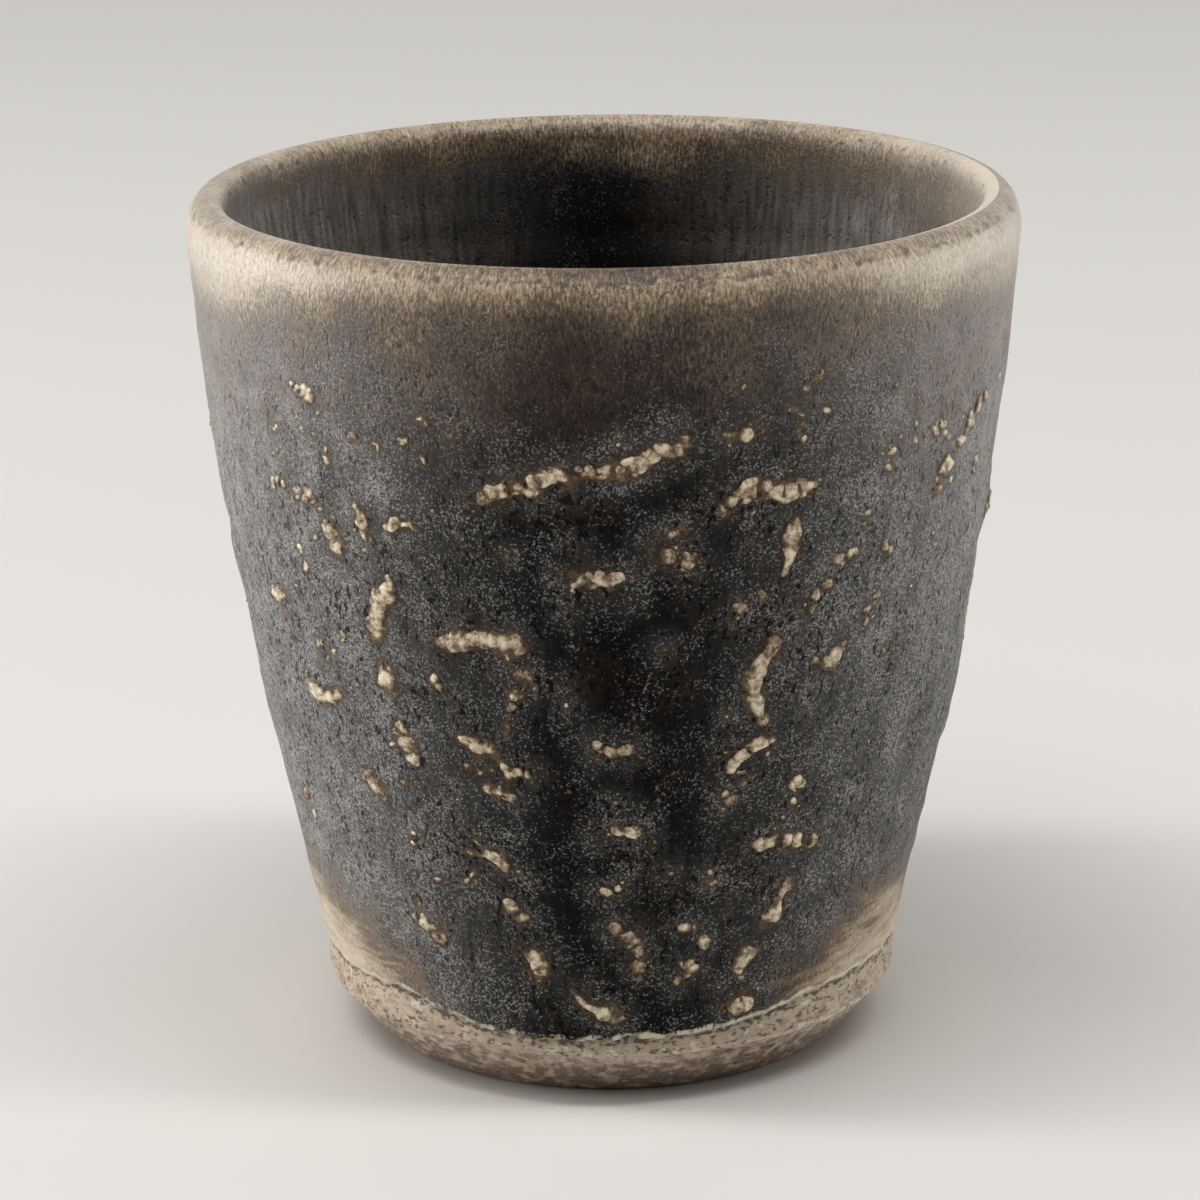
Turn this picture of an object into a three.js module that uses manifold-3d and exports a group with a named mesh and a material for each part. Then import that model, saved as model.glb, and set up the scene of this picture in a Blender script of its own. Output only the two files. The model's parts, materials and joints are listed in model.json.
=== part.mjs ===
// A wheel-thrown stoneware cup without a handle, as a potter builds it up: a clay body thrown and
// turned in one piece, a liner glaze poured inside, an outer glaze dipped over the wall, and
// strokes of pale slip that were laid on the clay and stand through the outer glaze.
// Millimetres, +Z up. The origin is on the table under the middle of the foot, and the front
// of the cup faces -Y.

import * as THREE from "three";
import { mergeVertices } from "three/addons/utils/BufferGeometryUtils.js";
import Module from "manifold-3d";

const wasm = await Module();
wasm.setup();

// Outer form
const cupHeight = 90;
const rimDiameter = 86;
const footTopDiameter = 62;
const bevelHeight = 6;
const ankleRise = 15.8; // the wall starts straight up from the bevel over this pull
const rimReach = 58; // the long easy curve below the lip
const rimFlare = 5.3; // how much that curve still opens on its way to the lip

// Lip
const lipDrop = 4; // from the crest down to the widest place
const lipOverhang = 2.35; // from the widest place in to the crest
const lipThickness = 4.1;
const innerLipDrop = 1.9; // from the crest down to the straight inner wall

// Foot
const footDiameter = 50.6; // outer edge of the ring that touches the table
const footEdge = 0.6; // softened edge of that ring
const footRingWidth = 6.8;
const footRecess = 1.5; // hollow turned into the underside
const recessSlope = 1.4; // run of the slope between the ring and the hollow

// Inside
const heelHeight = 17; // where the inner wall starts to turn into the floor
const heelThickness = 5.2;
const floorThickness = 6;
const floorFlatDiameter = 26;
const floorDish = 0.5; // the floor sinks this far to its middle
const bowlHandle = 7; // pull of the round turn from wall to floor

// Coats
const glazeCoat = 0.6;
const bondGap = 0.05; // between a coat and what it is fired on
const glazeLine = 7.6; // lower edge of the outer glaze
const glazeRoll = 0.5; // height of the rounded lower edge

// Slip strokes
const slipRise = 0.7; // crown of a stroke above the glaze
const slipSeat = 0.12; // between a stroke and the clay
const windowGap = 0.32; // glaze draws back this far round a stroke
const broadStroke = 2.1;
const plainStroke = 1.7;
const fineStroke = 1.3;
const slipLump = 2.4; // spacing of the lumps along a stroke
const lumpDepth = 0.14; // half of the share of width and rise that is lost between two lumps
const endSize = 0.4; // share of the width and rise that is left at an end
const shoulderSize = 0.86; // share of the width at the height of the glaze

// Facets
const around = 40;
const wallSteps = 7;
const lipSteps = 4;
const bowlSteps = 4;
const strokeStep = 1.8; // spacing of the sections along a stroke
const windowStep = 2.2; // spacing of the sections along its window

const rimRadius = rimDiameter / 2;
const footTopRadius = footTopDiameter / 2;
const lipBase = cupHeight - lipDrop;
const crestRadius = rimRadius - lipOverhang;
const innerRimRadius = rimRadius - lipThickness;
const floorHeight = footRecess + floorThickness;
const clayDepth = glazeCoat + bondGap; // how far the clay lies under the glazed surface

const colours = { clay: 0x8a7560, glaze: 0x3a3836, liner: 0x2f2d2c, slip: 0xd8c9a4 };

// The glazed outer wall in the (radius, height) plane, from the top of the bevel to the lip.
const wallCurve = new THREE.CubicBezierCurve(
  new THREE.Vector2(footTopRadius, bevelHeight),
  new THREE.Vector2(footTopRadius, bevelHeight + ankleRise),
  new THREE.Vector2(rimRadius - rimFlare, lipBase - rimReach),
  new THREE.Vector2(rimRadius, lipBase),
);

// A point on a profile curve, moved square to it towards the left of its direction.
function offsetPoint(curve, share, depth) {
  const point = curve.getPoint(share);
  const along = curve.getTangent(share);
  return new THREE.Vector2(point.x - along.y * depth, point.y + along.x * depth);
}

// Share of the wall curve at a height, found by halving.
function wallShare(height) {
  let low = 0;
  let high = 1;
  for (let pass = 0; pass < 40; pass++) {
    const middle = (low + high) / 2;
    if (wallCurve.getPoint(middle).y < height) low = middle;
    else high = middle;
  }
  return (low + high) / 2;
}

const lineShare = wallShare(glazeLine);
const rollShare = wallShare(glazeLine + glazeRoll);
const heelShare = wallShare(heelHeight);

// Even steps from one value to another, with both ends.
function steps(from, to, count) {
  return Array.from({ length: count + 1 }, (_, i) => from + ((to - from) * i) / count);
}

// The outer wall from a share up to the crest of the lip, at a depth under the glazed surface.
function outerLine(fromShare, depth) {
  const wall = steps(fromShare, 1, wallSteps).slice(0, -1);
  const lip = steps(0, Math.PI / 2, lipSteps);
  return [
    ...wall.map((share) => offsetPoint(wallCurve, share, depth)),
    ...lip.map((turn) => new THREE.Vector2(
      crestRadius + (lipOverhang - depth) * Math.cos(turn),
      lipBase + (lipDrop - depth) * Math.sin(turn),
    )),
  ];
}

// Wall thickness grows from the lip down to the heel.
function innerDepth(share) {
  const climb = (share - heelShare) / (1 - heelShare);
  return heelThickness + (lipThickness - heelThickness) * climb;
}

// The round turn from the inner wall into the floor, starting along the wall.
const heelPoint = offsetPoint(wallCurve, heelShare, heelThickness);
const heelTangent = wallCurve.getTangent(heelShare);
const bowlCurve = new THREE.CubicBezierCurve(
  heelPoint,
  heelPoint.clone().addScaledVector(heelTangent, -bowlHandle),
  new THREE.Vector2(floorFlatDiameter / 2 + bowlHandle, floorHeight),
  new THREE.Vector2(floorFlatDiameter / 2, floorHeight),
);

// The inside from the crest of the lip to the middle of the floor, at a depth under its surface.
function innerLine(depth, crest) {
  const lip = steps(Math.PI / 2, 0, lipSteps);
  const lipIn = crest - innerRimRadius;
  const lipCentre = cupHeight - innerLipDrop;
  const wall = steps(1, heelShare, wallSteps).slice(0, -1);
  const bowl = steps(0, 1, bowlSteps);
  return [
    ...lip.map((turn) => new THREE.Vector2(
      crest - (lipIn - depth) * Math.cos(turn),
      lipCentre + (innerLipDrop - depth) * Math.sin(turn),
    )),
    ...wall.map((share) => offsetPoint(wallCurve, share, innerDepth(share) - depth)),
    ...bowl.map((share) => offsetPoint(bowlCurve, share, depth)),
    new THREE.Vector2(0, floorHeight - floorDish - depth),
  ];
}

// Underside, foot ring and bevel, from the axis out to the top of the bevel.
function footLine() {
  const ringOuter = footDiameter / 2;
  const ringInner = ringOuter - footRingWidth;
  return [
    new THREE.Vector2(0, footRecess),
    new THREE.Vector2(ringInner - recessSlope, footRecess),
    new THREE.Vector2(ringInner, 0),
    new THREE.Vector2(ringOuter - footEdge, 0),
    new THREE.Vector2(ringOuter, footEdge / 2),
  ];
}

// A closed profile turned about +Z.
function revolve(profile) {
  return new THREE.LatheGeometry(profile, around).rotateX(Math.PI / 2);
}

// Geometry to solid and back, for the cuts.
function toSolid(geometry) {
  const plain = geometry.clone();
  for (const name of ["normal", "uv"]) plain.deleteAttribute(name);
  const merged = mergeVertices(plain, 1e-3);
  return new wasm.Manifold(new wasm.Mesh({
    numProp: 3,
    vertProperties: new Float32Array(merged.attributes.position.array),
    triVerts: new Uint32Array(merged.index.array),
  }));
}

function toGeometry(solid) {
  const mesh = solid.getMesh();
  return new THREE.BufferGeometry()
    .setAttribute("position", new THREE.BufferAttribute(mesh.vertProperties, 3))
    .setIndex(new THREE.BufferAttribute(mesh.triVerts, 1));
}

// Place on the wall: degrees to the right of the front, and percent of the way from the
// glaze line to the lip. Returns the point at a depth under the glaze and the way out of the wall.
function wallPlace(degrees, percent, depth) {
  const share = wallShare(glazeLine + (percent / 100) * (lipBase - glazeLine));
  const flat = offsetPoint(wallCurve, share, depth);
  const slope = wallCurve.getTangent(share);
  const turn = THREE.MathUtils.degToRad(degrees);
  const outward = new THREE.Vector3(Math.sin(turn), -Math.cos(turn), 0);
  return {
    point: outward.clone().multiplyScalar(flat.x).setZ(flat.y),
    out: outward.clone().multiplyScalar(slope.y).setZ(-slope.x),
  };
}

// The line of a stroke on the clay, as stations with the directions along, across and out.
function strokeStations(path, spacing) {
  const line = new THREE.SplineCurve(path.map(([degrees, percent]) => new THREE.Vector2(degrees, percent)));
  const place = (share) => {
    const at = line.getPoint(share);
    return wallPlace(at.x, at.y, clayDepth - slipSeat);
  };
  const length = steps(0, 1, 24)
    .map((share) => place(share).point)
    .reduce((sum, point, i, all) => (i ? sum + point.distanceTo(all[i - 1]) : 0), 0);
  const count = Math.max(2, Math.round(length / spacing));
  const nudge = 1e-3;
  const stations = steps(0, 1, count).map((share) => {
    const { point, out } = place(share);
    const ahead = place(Math.min(1, share + nudge)).point;
    const along = ahead.sub(place(Math.max(0, share - nudge)).point).normalize();
    return { share, point, out, along, across: new THREE.Vector3().crossVectors(out, along) };
  });
  return { stations, length };
}

// One closed skin over a row of sections, each a ring of [across, out] pairs.
function loft(stations, sectionAt, endShift) {
  const positions = [];
  const last = stations.length - 1;
  const sides = sectionAt(stations[0]).length;
  stations.forEach((station, i) => {
    const shift = i === 0 ? -endShift : i === last ? endShift : 0;
    for (const [across, out] of sectionAt(station)) {
      const corner = station.point.clone()
        .addScaledVector(station.along, shift)
        .addScaledVector(station.across, across)
        .addScaledVector(station.out, out);
      positions.push(corner.x, corner.y, corner.z);
    }
  });
  const faces = [];
  for (let i = 0; i < last; i++) {
    for (let k = 0; k < sides; k++) {
      const a = i * sides + k;
      const b = i * sides + ((k + 1) % sides);
      faces.push(a, b, a + sides, b, b + sides, a + sides);
    }
  }
  for (let k = 1; k < sides - 1; k++) {
    const end = last * sides;
    faces.push(0, k + 1, k, end, end + k, end + k + 1);
  }
  return new THREE.BufferGeometry()
    .setAttribute("position", new THREE.Float32BufferAttribute(positions, 3))
    .setIndex(faces);
}

// A stroke swells over its lumps and runs out thin at both ends.
function swell(share, lumps) {
  const body = Math.sqrt(Math.max(0, 1 - (2 * share - 1) ** 4));
  const lump = 1 - lumpDepth * (1 - Math.cos(2 * Math.PI * lumps * (share - 0.5)));
  return endSize + (1 - endSize) * body * lump;
}

// The stroke itself, and the window that the glaze leaves round it.
function slipStroke(width, path) {
  const { stations, length } = strokeStations(path, strokeStep);
  const lumps = Math.max(1, Math.round(length / slipLump));
  const stroke = loft(stations, ({ share }) => {
    const half = (width / 2) * swell(share, lumps);
    const crown = glazeCoat + slipRise * swell(share, lumps);
    return [
      [half, 0],
      [half * shoulderSize, glazeCoat],
      [0, crown],
      [-half * shoulderSize, glazeCoat],
      [-half, 0],
    ];
  }, 0);
  const reach = width / 2 + windowGap;
  const window = loft(strokeStations(path, windowStep).stations, () => [
    [reach, -glazeCoat],
    [reach, 2 * glazeCoat],
    [-reach, 2 * glazeCoat],
    [-reach, -glazeCoat],
  ], windowGap);
  return { stroke, window };
}

// Slip strokes by name: width, then the line they were drawn along as
// [degrees right of the front, percent up the glazed wall].
const slipStrokes = {
  front_upper_row: [broadStroke, [[-19, 76], [-8, 79], [2, 80.5], [12, 84]]],
  front_upper_dab: [plainStroke, [[15.5, 84.2], [21, 84.2]]],
  front_middle_row: [broadStroke, [[-8, 66], [2, 66.2]]],
  front_middle_dab: [broadStroke, [[4.8, 69.6], [13, 68]]],
  front_hooked_row: [broadStroke, [[15, 74.5], [19, 76.4], [25, 76], [30, 76.6]]],
  front_hanging_stroke: [fineStroke, [[26.6, 72.6], [26.2, 69], [25, 65]]],
  front_tall_curl: [fineStroke, [[24.6, 56], [22.2, 52.6], [21.8, 49], [23.8, 45]]],
  front_short_hook: [fineStroke, [[26, 42.2], [20.8, 41.4], [18.6, 38.6]]],
  front_low_row: [fineStroke, [[23.5, 27.6], [30, 27.4], [37, 26.4]]],
  front_low_slant: [plainStroke, [[32.3, 22], [30.6, 18], [28.3, 15.2]]],
  front_low_blob: [broadStroke, [[26.4, 12.4], [23.4, 9]]],
  front_foot_dash: [fineStroke, [[21, 3.4], [26.5, 4]]],
  front_foot_stroke: [fineStroke, [[-6.5, 6.6], [-2.7, 4.8], [1.4, 3.8]]],
  front_bar: [broadStroke, [[-25, 56.4], [-18, 57.5], [-12.5, 56.9]]],
  front_bar_drop: [fineStroke, [[-12.3, 53.6], [-13.3, 51], [-14.8, 48.2]]],
  front_slant: [plainStroke, [[-24, 43.4], [-17.6, 41.6]]],
  front_slant_echo: [plainStroke, [[-20, 36.6], [-15.1, 35.2]]],
  front_low_sweep: [fineStroke, [[-25.5, 28.3], [-20.3, 27], [-16.6, 24.2]]],
  front_middle_drop: [plainStroke, [[0.4, 31.4], [5, 31]]],
  front_low_tick: [plainStroke, [[-15.8, 14], [-12.4, 9.9]]],
  left_post: [broadStroke, [[-30, 64.4], [-33.6, 62.2], [-35.3, 58.8], [-35.6, 55.4]]],
  left_post_foot: [broadStroke, [[-35.8, 52.3], [-35.4, 50.2], [-33.9, 47.8]]],
  left_post_tail: [plainStroke, [[-34.6, 44.8], [-33.6, 42], [-32, 38.4]]],
  left_tee: [plainStroke, [[-37, 73.4], [-35.7, 71], [-36, 67.6]]],
  left_dashes: [fineStroke, [[-32.3, 70.6], [-29, 72.2], [-26.2, 71.6]]],
  left_stroke: [fineStroke, [[-43.2, 70.2], [-41.9, 67.6], [-40.8, 65.6]]],
  left_blob: [broadStroke, [[-60.2, 57.3], [-54.4, 57.6]]],
  left_cup: [fineStroke, [[-53.4, 47.8], [-51, 45.4], [-48, 44.8], [-44.6, 46.8]]],
  left_low_dash: [plainStroke, [[-43, 35.8], [-38.4, 32.5]]],
  left_low_sweep: [fineStroke, [[-38, 16.4], [-34.2, 14], [-30.8, 11.9]]],
  right_dash: [fineStroke, [[37, 54.4], [34.2, 51.4]]],
  right_edge_row: [plainStroke, [[66.5, 81.4], [61, 78.8], [54.5, 74], [53, 70.4]]],
  left_edge_lump: [broadStroke, [[-91, 76.6], [-89, 73]]],
  back_upper_row: [broadStroke, [[118, 74], [128, 77], [140, 78.4], [152, 82]]],
  back_middle_row: [plainStroke, [[158, 64], [168, 66.4], [180, 66], [188, 68.4]]],
  back_tall_curl: [plainStroke, [[205, 78], [201, 72], [202.6, 65], [207, 60]]],
  back_post: [broadStroke, [[136, 62], [133.6, 56], [134.4, 49], [137, 44]]],
  back_bar: [broadStroke, [[160, 50.4], [168, 51.6], [176, 50.6]]],
  back_low_slant: [plainStroke, [[181, 31], [184.6, 26.4], [188, 20.4]]],
  back_low_sweep: [fineStroke, [[206, 24], [214, 19], [222, 16.4]]],
  back_foot_stroke: [fineStroke, [[170, 8.4], [177, 5.4], [184, 4.4]]],
  side_right_row: [plainStroke, [[80, 62], [88, 64], [97, 63.4]]],
  side_right_post: [plainStroke, [[92, 50], [90.4, 44], [92.6, 37]]],
  side_left_row: [broadStroke, [[232, 64], [242, 67.4], [252, 67]]],
  side_left_stroke: [plainStroke, [[247, 53.6], [250.4, 47], [249, 40]]],
};

function material(colour, roughness) {
  return new THREE.MeshStandardMaterial({ color: colour, roughness, metalness: 0 });
}

function part(name, geometry, finish) {
  const mesh = new THREE.Mesh(geometry, finish);
  mesh.name = name;
  return mesh;
}

// Clay: underside and bevel, bare up to the glaze line, then the wall under its coats.
const clayBody = revolve([
  ...footLine(),
  offsetPoint(wallCurve, 0, clayDepth),
  offsetPoint(wallCurve, lineShare, clayDepth),
  ...outerLine(rollShare, clayDepth),
  ...innerLine(clayDepth, crestRadius).slice(1),
]);

// Outer glaze: up the outside to the crest, back down against the clay, with a rolled lower edge.
const glazeShell = revolve([
  offsetPoint(wallCurve, lineShare, glazeCoat),
  offsetPoint(wallCurve, lineShare, glazeCoat / 2),
  ...outerLine(rollShare, 0),
  ...outerLine(rollShare, glazeCoat).reverse(),
  offsetPoint(wallCurve, lineShare, glazeCoat),
]);

// Liner glaze: from the crest down the inside, and back under itself.
const linerCrest = crestRadius - bondGap;
const linerGlaze = revolve([
  ...innerLine(glazeCoat, linerCrest).reverse(),
  ...innerLine(0, linerCrest),
]);

const slip = Object.entries(slipStrokes).map(([name, [width, path]]) => ({
  name: `slip_${name}`,
  ...slipStroke(width, path),
}));
const windows = wasm.Manifold.union(slip.map(({ window }) => toSolid(window)));
const outerGlaze = toGeometry(toSolid(glazeShell).subtract(windows));

const cup = new THREE.Group();
cup.name = "stoneware_cup";
cup.add(part("clay_body", clayBody, material(colours.clay, 0.85)));
cup.add(part("outer_glaze", outerGlaze, material(colours.glaze, 0.55)));
cup.add(part("liner_glaze", linerGlaze, material(colours.liner, 0.5)));
const slipFinish = material(colours.slip, 0.6);
for (const { name, stroke } of slip) cup.add(part(name, stroke, slipFinish));

export default cup;
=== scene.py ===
"""Dresses a thrown stoneware cup: its glazed wall, liner, turned clay and slip, on a plain stage."""

import json
import math

import bpy
import numpy as np
from bpy.props import FloatProperty, FloatVectorProperty, IntProperty, PointerProperty
from bpy.types import Operator, Panel, PropertyGroup
from mathutils import Matrix, Vector, geometry, kdtree, noise

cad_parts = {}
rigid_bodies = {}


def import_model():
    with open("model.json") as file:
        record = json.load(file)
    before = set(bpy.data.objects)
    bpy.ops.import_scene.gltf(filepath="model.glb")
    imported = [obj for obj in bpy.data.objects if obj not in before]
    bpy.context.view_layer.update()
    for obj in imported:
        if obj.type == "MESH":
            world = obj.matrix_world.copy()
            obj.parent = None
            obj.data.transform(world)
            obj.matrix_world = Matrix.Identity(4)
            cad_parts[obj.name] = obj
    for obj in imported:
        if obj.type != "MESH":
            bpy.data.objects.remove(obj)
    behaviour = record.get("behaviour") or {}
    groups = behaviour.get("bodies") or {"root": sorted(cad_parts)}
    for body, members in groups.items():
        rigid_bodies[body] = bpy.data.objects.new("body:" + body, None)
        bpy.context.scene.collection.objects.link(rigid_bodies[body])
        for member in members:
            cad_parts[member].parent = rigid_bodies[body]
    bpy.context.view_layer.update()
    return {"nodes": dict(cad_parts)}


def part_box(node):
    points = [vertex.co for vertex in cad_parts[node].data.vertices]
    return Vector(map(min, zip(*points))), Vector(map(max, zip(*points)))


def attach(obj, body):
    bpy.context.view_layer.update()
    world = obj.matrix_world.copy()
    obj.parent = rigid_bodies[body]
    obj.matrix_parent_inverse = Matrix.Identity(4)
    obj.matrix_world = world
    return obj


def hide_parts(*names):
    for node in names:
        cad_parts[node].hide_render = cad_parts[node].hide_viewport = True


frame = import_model()

bl_info = {
    "name": "Stoneware Cup",
    "version": (1, 0, 0),
    "blender": (4, 5, 0),
    "location": "View3D > Sidebar > Cup",
    "description": "Models the glazes, the turned clay and the slip of a thrown cup around its frame",
    "category": "Add Mesh",
}

MM = 0.001
GLAZE_LOW, GLAZE_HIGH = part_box("outer_glaze")
SLIP_NODES = sorted(name for name in frame["nodes"] if name.startswith("slip_"))
MERGE = 1e-6  # Corners nearer than this are one
CURVE_POINTS, BOWL_POINTS, ARC_POINTS = 400, 60, 30
INNER_FACE, CLAY_FACE = 0.95, 1.08  # Depths of the coat's inner face and of the clay, in coats
LIP_BAND = 4 * MM  # Lip above the part of the wall that the marks are measured on
FLOW_RADIUS = 40 * MM  # Cylinder on which the patterns of the glaze run
SCATTERED = 320  # Specks over the whole wall
SPECK_LOW, SPECK_HIGH = 11, 80  # Heights in millimetres between which slip lies
MOST_TURN = 3  # Radians
BARE_POINTS = 40  # Points of the wall's curve that reach above the glaze line
FLOOR_SIZE = 6
CUP_MIDDLE = Vector((0, 0, 0.045))

# Place, width and height of each soft box, in metres
LEFT_BOX = ((-0.82, 0.20, 0.105), 0.6, 0.2)
RIGHT_BOX = ((0.81, 0.28, 0.105), 0.55, 0.2)
TOP_BOX = ((-0.02, -0.19, 1.2), 1.8, 0.16)
FRONT_BOX = ((-0.45, -0.55, 1.2), 1.2, 0.6)
BACK_BOX = ((0.0, 1.40, 0.6), 2.0, 0.8)

# Dabs of slip too small for a node: the two ends of each, in degrees to the right of the front and
# percent of the glazed height
DABS = (
    ((26, 86), (27, 82)), ((7, 72), (11, 73)), ((34, 65), (37, 66)), ((43, 66), (44, 64)),
    ((29, 60), (32, 62)), ((42, 59), (41, 55)), ((18, 60), (22, 62)), ((19, 36), (18, 34)),
    ((31, 36), (31, 33)), ((67, 74), (65, 71)), ((43, 80), (42, 77)), ((53, 81), (51, 79)),
    ((-47, 87), (-43, 87)), ((-55, 74), (-50, 74)), ((-47, 73), (-43, 72)), ((-51, 66), (-47, 64)),
    ((-46, 52), (-42, 55)), ((-27, 54), (-27, 51)), ((-18, 39), (-13, 39)), ((-2, 43), (2, 43)),
    ((-1, 23), (2, 24)), ((-66, 28), (-62, 26)), ((-18, 20), (-16, 18)), ((0, 18), (3, 15)),
    ((13, 16), (17, 14)), ((5, 14), (4, 10)), ((13, 10), (16, 11)),
)

# Dots of slip smaller still, in the same measures
DOTS = (
    (-67, 76), (-53, 78), (-52, 81), (-46, 82), (-42, 83), (-37, 84), (-26, 86), (-24, 86),
    (-36, 81), (-32, 82), (-28, 83), (-25, 81), (-41, 79), (-22, 84), (-52, 60), (-47, 60),
    (-46, 57), (-48, 53), (-45, 28), (-34, 28), (-30, 22), (-25, 23), (11, 25), (17, 24), (23, 20),
    (21, 37), (29, 90), (27, 90), (29, 88), (31, 85), (23, 88), (24, 87), (42, 88), (48, 83),
    (48, 79), (58, 82), (55, 79), (73, 82), (73, 73), (58, 72), (41, 78), (39, 71), (55, 65),
    (46, 52), (32, 52),
)

# Last words in the names of strokes whose beads touch. The others are pebbly.
WHOLE = ("_bar", "_curl", "_cup", "_stroke", "_dash", "_blob", "_slant", "_post", "_foot")


def linear(code):
    """An sRGB hex colour as the linear values that shaders take."""
    parts = [int(code[i:i + 2], 16) / 255 for i in (1, 3, 5)]
    return [p / 12.92 if p <= 0.04045 else ((p + 0.055) / 1.055) ** 2.4 for p in parts]


def length(label, size_mm, text):
    """A length that a user may change, given in millimetres."""
    return FloatProperty(name=label, description=text, default=size_mm * MM, unit="LENGTH", precision=5)


def colour(label, code, text):
    """A colour that a user may change, given as an sRGB hex value."""
    return FloatVectorProperty(name=label, description=text, default=linear(code), subtype="COLOR",
                               min=0, max=1)


class CupForm(PropertyGroup):
    """Sizes of the thrown form and of its finish."""

    foot_top: length("Foot top radius", 31.0, "Radius where the bevel meets the wall")
    bevel: length("Bevel height", 6.0, "Height of the bevel above the table")
    ankle: length("Ankle rise", 15.8, "Straight pull of the wall above the bevel")
    reach: length("Rim reach", 58.0, "Length of the easy curve below the lip")
    flare: length("Rim flare", 5.3, "How much that curve still opens")
    lip_drop: length("Lip drop", 4.0, "Crest of the lip down to the widest place")
    lip_overhang: length("Lip overhang", 2.35, "Widest place in to the crest")
    lip_wall: length("Lip thickness", 4.1, "Wall under the lip")
    inner_drop: length("Inner lip drop", 1.9, "Crest down to the straight inner wall")
    heel: length("Heel height", 17.0, "Where the inside turns into the floor")
    heel_wall: length("Heel thickness", 5.2, "Wall at the heel")
    floor: length("Floor height", 7.5, "Inner floor above the table")
    floor_flat: length("Floor flat radius", 13.0, "Flat of the inner floor")
    floor_dish: length("Floor dish", 0.5, "Sink of the floor to its middle")
    bowl_pull: length("Bowl pull", 7.0, "Pull of the round turn from wall to floor")
    foot: length("Foot radius", 25.3, "Outer edge of the foot ring")
    ring: length("Foot ring width", 6.8, "Width of the foot ring")
    recess: length("Foot recess", 1.5, "Hollow under the foot")
    recess_slope: length("Recess slope", 1.4, "Run of the slope into the hollow")
    toe: length("Toe", 0.7, "Rounding of the foot ring's outer edge")
    coat: length("Glaze coat", 0.6, "Thickness of a glaze coat")
    row: length("Row height", 0.5, "Spacing of the modelled rows")
    columns: IntProperty(name="Columns", description="Modelled columns round the wall", default=520, min=40)
    hidden_columns: IntProperty(name="Inner columns", description="Columns inside and below",
                                default=280, min=40)
    swell: length("Unevenness", 0.24, "Soft unevenness of the hand-made wall")
    slip_grain: length("Slip voxel", 0.14, "Fineness of the slip strokes")


class CupColours(PropertyGroup):
    """Colours of the fired surfaces."""

    charcoal: colour("Charcoal", "#090808", "Glaze where it is thick")
    # Ash and fog tint the bloom, which is partly painted light on the sides and on the liner's right
    ash: colour("Ash", "#5e5b57", "Bloom on the glaze at the sides")
    fog: colour("Fog", "#e2d8cd", "Bloom on the liner at the sides")
    graphite: colour("Graphite", "#a09d9b", "Crystals in the thick glaze")
    umber: colour("Umber", "#2c221b", "Glaze where it thins to brown")
    bark: colour("Bark", "#433428", "Brown glaze round the slip")
    taupe: colour("Taupe", "#5d4f43", "Glaze where it starts to break over an edge")
    camel: colour("Camel", "#877154", "Glaze where it thins further")
    beige: colour("Beige", "#d3c2aa", "Glaze where it breaks over an edge")
    cream: colour("Cream", "#f8e9cb", "Crest of the slip")
    tan: colour("Tan", "#8d7455", "Edge of the slip")
    pale: colour("Pale line", "#e4dcc4", "Rolled edge of the glaze and rubbed clay")
    clay: colour("Clay", "#c8b5a1", "Bare fired clay")
    biscuit: colour("Biscuit", "#bda78c", "Dry clay just below the glaze")
    # Sienna also darkens the clay towards the table, as painted shade
    sienna: colour("Sienna", "#6b584a", "Darker clouds in the clay")
    # Iron also draws a painted shadow line just under the glaze's edge
    iron: colour("Iron", "#2a2019", "Iron specks in the clay")
    stage: colour("Stage", "#d9d6d1", "Floor under the cup")


class CupStage(PropertyGroup):
    """Camera and lights."""

    lens: FloatProperty(name="Lens", description="Focal length in mm on a 36 mm sensor", default=132.9)
    elevation: FloatProperty(name="Elevation", description="Camera above the level",
                             default=math.radians(16.45), subtype="ANGLE")
    roll: FloatProperty(name="Roll", description="Camera roll", default=math.radians(-0.66), subtype="ANGLE")
    distance: length("Distance", 469.0, "Camera to the point it looks at")
    aim_side: length("Aim side", -0.8, "Point looked at, to the right of the axis")
    aim_height: length("Aim height", 45.4, "Point looked at, above the table")
    left_power: FloatProperty(name="Left power", description="Left soft box", default=5.0, unit="POWER")
    right_power: FloatProperty(name="Right power", description="Right soft box", default=2.8, unit="POWER")
    top_power: FloatProperty(name="Top power", description="Overhead soft box", default=14.0, unit="POWER")
    front_power: FloatProperty(name="Front power", description="High soft box at the front left",
                               default=4.4, unit="POWER")
    back_power: FloatProperty(name="Back power", description="Soft box over the far floor", default=6.2,
                              unit="POWER")
    surround: FloatProperty(name="Surround", description="Strength of the room's light", default=0.06)


# Profiles of the cup, as arrays of (radius, height)


def offset(line, depth):
    """A line moved square to itself, to the left of its direction."""
    along = np.gradient(line, axis=0)
    along /= np.linalg.norm(along, axis=1)[:, None]
    return line + depth * np.stack([-along[:, 1], along[:, 0]], axis=1)


def bezier(points, count):
    """A cubic curve as an array of points."""
    knots = [Vector((radius, height, 0.0)) for radius, height in points]
    return np.array([p[:2] for p in geometry.interpolate_bezier(*knots, count)])


def wall_line(form):
    """Outer wall from the top of the bevel to the widest place."""
    base = GLAZE_HIGH.z - form.lip_drop
    rim = GLAZE_HIGH.x
    return bezier([
        (form.foot_top, form.bevel),
        (form.foot_top, form.bevel + form.ankle),
        (rim - form.flare, base - form.reach),
        (rim, base),
    ], CURVE_POINTS)


def quadrant(centre, width, height, start, end):
    """Part of an ellipse, from one angle to another in degrees."""
    turn = np.radians(np.linspace(start, end, ARC_POINTS))
    return np.stack([centre[0] + width * np.cos(turn), centre[1] + height * np.sin(turn)], axis=1)


def outside_line(form, depth):
    """Outer wall and lip from the bevel to the crest, at a depth under the glaze."""
    crest = (GLAZE_HIGH.x - form.lip_overhang, GLAZE_HIGH.z - form.lip_drop)
    lip = quadrant(crest, form.lip_overhang - depth, form.lip_drop - depth, 0, 90)
    return np.concatenate([offset(wall_line(form), depth)[:-1], lip])


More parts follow.
